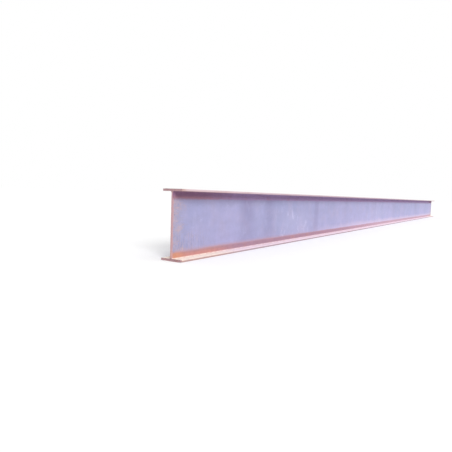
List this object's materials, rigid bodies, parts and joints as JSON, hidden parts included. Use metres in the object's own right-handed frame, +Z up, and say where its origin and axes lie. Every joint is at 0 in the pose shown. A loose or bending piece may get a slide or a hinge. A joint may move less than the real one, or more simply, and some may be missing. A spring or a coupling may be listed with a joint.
{
  "type": "steel i-beam",
  "caption": "Hot-rolled steel I-beam with parallel flanges, root fillets and square sawn ends, standing on its bottom flange.",
  "frame": {"origin": "middle of the bottom flange's underside, on the floor, halfway along the beam", "axes": "+X along the beam, +Y across the flanges, +Z up the web"},
  "size_m": [10, 0.1432, 0.4066],
  "materials": {
    "rolled_steel": "blue-grey mill scale with rusted flanges, roots and sawn ends"
  },
  "bodies": {
    "root": {"beam": "rolled_steel"}
  },
  "joints": []
}
